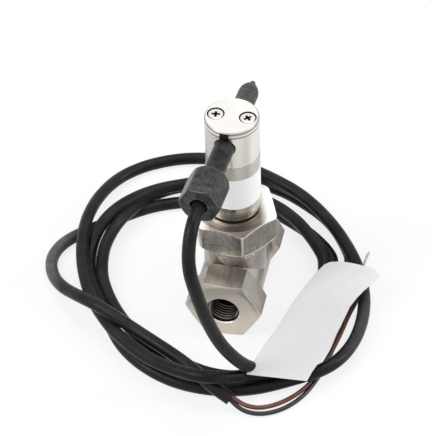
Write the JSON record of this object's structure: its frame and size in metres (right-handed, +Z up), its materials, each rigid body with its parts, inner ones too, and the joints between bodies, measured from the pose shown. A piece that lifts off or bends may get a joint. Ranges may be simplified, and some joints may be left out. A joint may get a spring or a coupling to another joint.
{
  "type": "paddle flow switch",
  "caption": "Threaded hexagonal tee with a magnetic paddle in its flow, a round sensor housing above and a clamped reed capsule whose cable lies coiled round it.",
  "frame": {"origin": "on the surface that the tee rests on, below the middle of the tee and on the sensor housing's axis", "axes": "+Z up the sensor housing's axis; +Y along the flow, out of the outlet port; +X completes the frame"},
  "size_m": [0.1374, 0.1428, 0.096],
  "materials": {
    "stainless": "turned stainless steel",
    "tube_steel": "polished stainless steel tube",
    "lid_plastic": "pale satin plate",
    "screw_steel": "zinc plated steel",
    "black_plastic": "black moulded plastic",
    "black_rubber": "black rubber",
    "cable_jacket": "matte black jacket",
    "brown_core": "brown insulation",
    "black_core": "black insulation",
    "tinned": "tinned strands",
    "paper": "bare paper",
    "label": "bare white film",
    "brass": "brass bush",
    "magnet": "nickel plated magnet",
    "glass": "clear glass",
    "board": "circuit board",
    "resin": "potting resin",
    "pad_rubber": "dark red rubber"
  },
  "bodies": {
    "switch_body": {"tee_body": "stainless", "hex_bonnet": "stainless", "neck_o_ring": "black_rubber", "housing_seal": "black_rubber", "sensor_housing": "tube_steel", "name_label": "label", "clamp_block": "black_plastic", "reset_magnet": "magnet", "clamp_pad": "pad_rubber", "clamp_lid": "lid_plastic", "lid_screws": "screw_steel", "pivot_yoke": "stainless", "pivot_pin": "stainless", "cable_coil": "cable_jacket", "core_tip": "tinned", "cable_tag": "paper", "cable_drop": "cable_jacket", "cable_tail": "cable_jacket", "brown_core": "brown_core", "black_core": "black_core"},
    "paddle": {"paddle_arm": "stainless", "pivot_bushes": "brass", "paddle_blade": "stainless", "paddle_rivets": "stainless", "magnet_cup": "stainless", "arm_magnet": "magnet"},
    "reed_capsule": {"capsule_sleeve": "black_plastic", "capsule_end_cap": "black_plastic", "gland_nut": "black_plastic", "gland_grommet": "black_rubber", "potting_plug": "resin", "reed_glass": "glass", "reed_blades": "tinned", "reed_board": "board", "inner_leads": "black_core"}
  },
  "joints": [
    {"name": "paddle_swing", "type": "hinge", "parent": "switch_body", "child": "paddle", "pos_m": [0, 0, 0.042], "axis": [1, 0, 0], "range_deg": [0, 8], "stiffness_Nm_per_rad": 0.003, "springref_deg": -2.86},
    {"name": "capsule_slide", "type": "slide", "parent": "switch_body", "child": "reed_capsule", "axis": [-0.0785, -0.9969, 0], "range_m": [-0.003, 0.003]}
  ]
}
